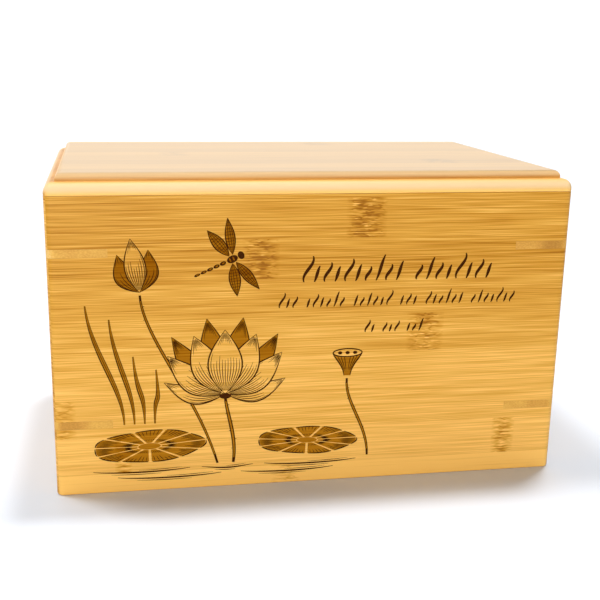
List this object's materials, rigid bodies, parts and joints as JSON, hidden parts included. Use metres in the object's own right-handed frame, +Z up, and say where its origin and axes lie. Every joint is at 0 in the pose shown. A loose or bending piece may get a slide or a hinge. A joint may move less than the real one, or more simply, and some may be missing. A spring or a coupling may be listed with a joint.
{
  "type": "cremation urn box",
  "caption": "Rectangular bamboo urn box with keyed mitred corners, a stepped moulded top, an engraved front and a base panel held by screws.",
  "frame": {"origin": "middle of the underside, on the surface that the box stands on", "axes": "+X to the viewer's right along the box, +Y from the engraved front to the back, +Z up"},
  "size_m": [0.26, 0.171, 0.1593],
  "materials": {
    "bamboo_front": "satin lacquer over caramel bamboo strips, with a burnt brown engraving",
    "bamboo_side": "satin lacquer over caramel bamboo strips",
    "bamboo_top": "satin lacquer over pale bamboo strips",
    "bamboo_key": "lacquered bamboo end grain, speckled",
    "bamboo_base": "thinly sealed bamboo, dull",
    "brass": "plain, dull"
  },
  "bodies": {
    "root": {"front_board": "bamboo_front", "back_board": "bamboo_side", "left_board": "bamboo_side", "right_board": "bamboo_side", "top_board": "bamboo_top", "base_panel": "bamboo_base", "key_front_left_upper": "bamboo_key", "key_front_left_lower": "bamboo_key", "key_front_right_upper": "bamboo_key", "key_front_right_lower": "bamboo_key", "key_back_left_upper": "bamboo_key", "key_back_left_lower": "bamboo_key", "key_back_right_upper": "bamboo_key", "key_back_right_lower": "bamboo_key", "base_screw_front_left": "brass", "base_screw_front_right": "brass", "base_screw_back_left": "brass", "base_screw_back_right": "brass"}
  },
  "joints": []
}
